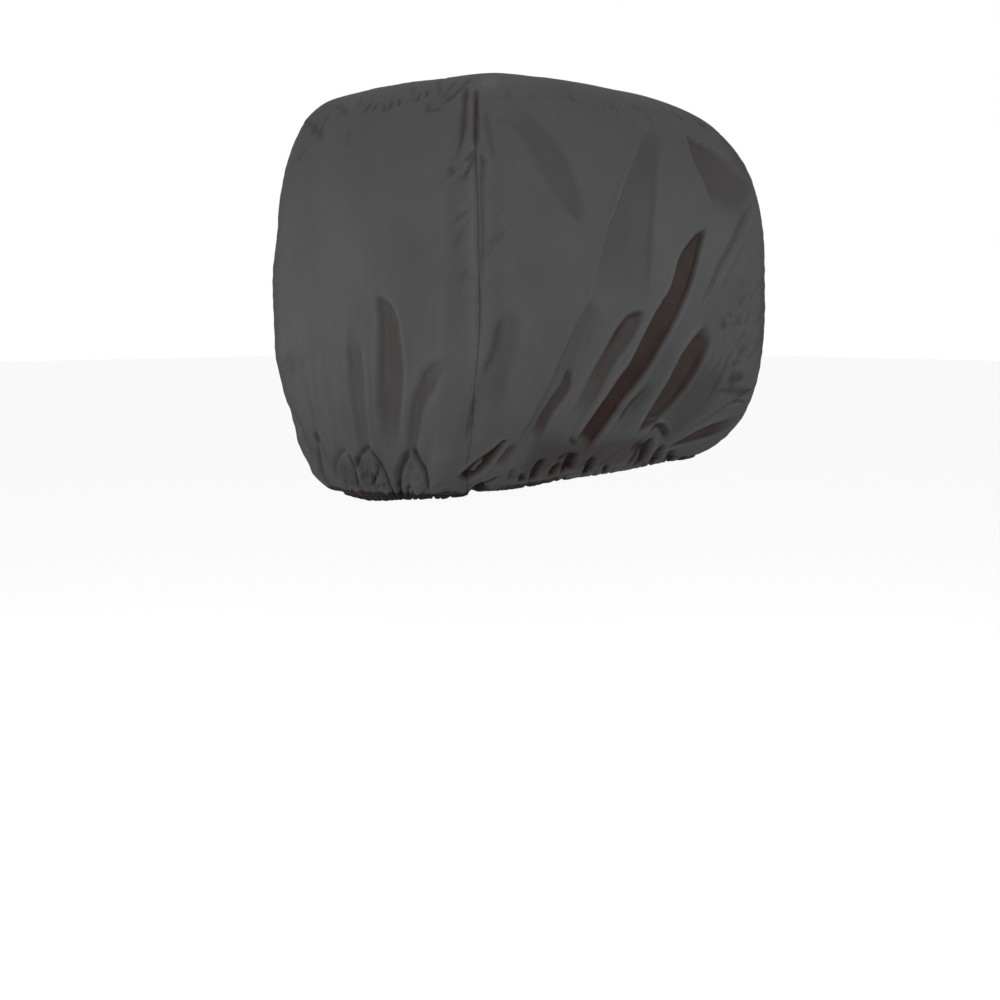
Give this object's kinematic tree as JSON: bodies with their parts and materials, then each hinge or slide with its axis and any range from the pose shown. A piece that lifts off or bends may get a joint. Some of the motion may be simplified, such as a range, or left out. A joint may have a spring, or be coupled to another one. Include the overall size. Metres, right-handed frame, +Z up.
{
  "type": "outboard motor cover",
  "caption": "Fitted cloth weather cover for an outboard motor's cowling: a hollow sewn form, held at its top, with slanting folds and a gathered elastic hem.",
  "frame": {"origin": "on the inner face of the top panel, at the middle of the crown, where the cover rests on the top of the cowling", "axes": "+Z up, +X towards the bow, +Y to port; the picture looks at the aft and starboard panels"},
  "size_m": [0.884, 0.6541, 0.7662],
  "materials": {
    "cover_cloth": "dark grey coated polyester, plain weave, low sheen"
  },
  "bodies": {
    "root": {"top_panel": "cover_cloth", "starboard_panel": "cover_cloth", "bow_panel": "cover_cloth", "port_panel": "cover_cloth", "aft_panel": "cover_cloth"}
  },
  "joints": []
}
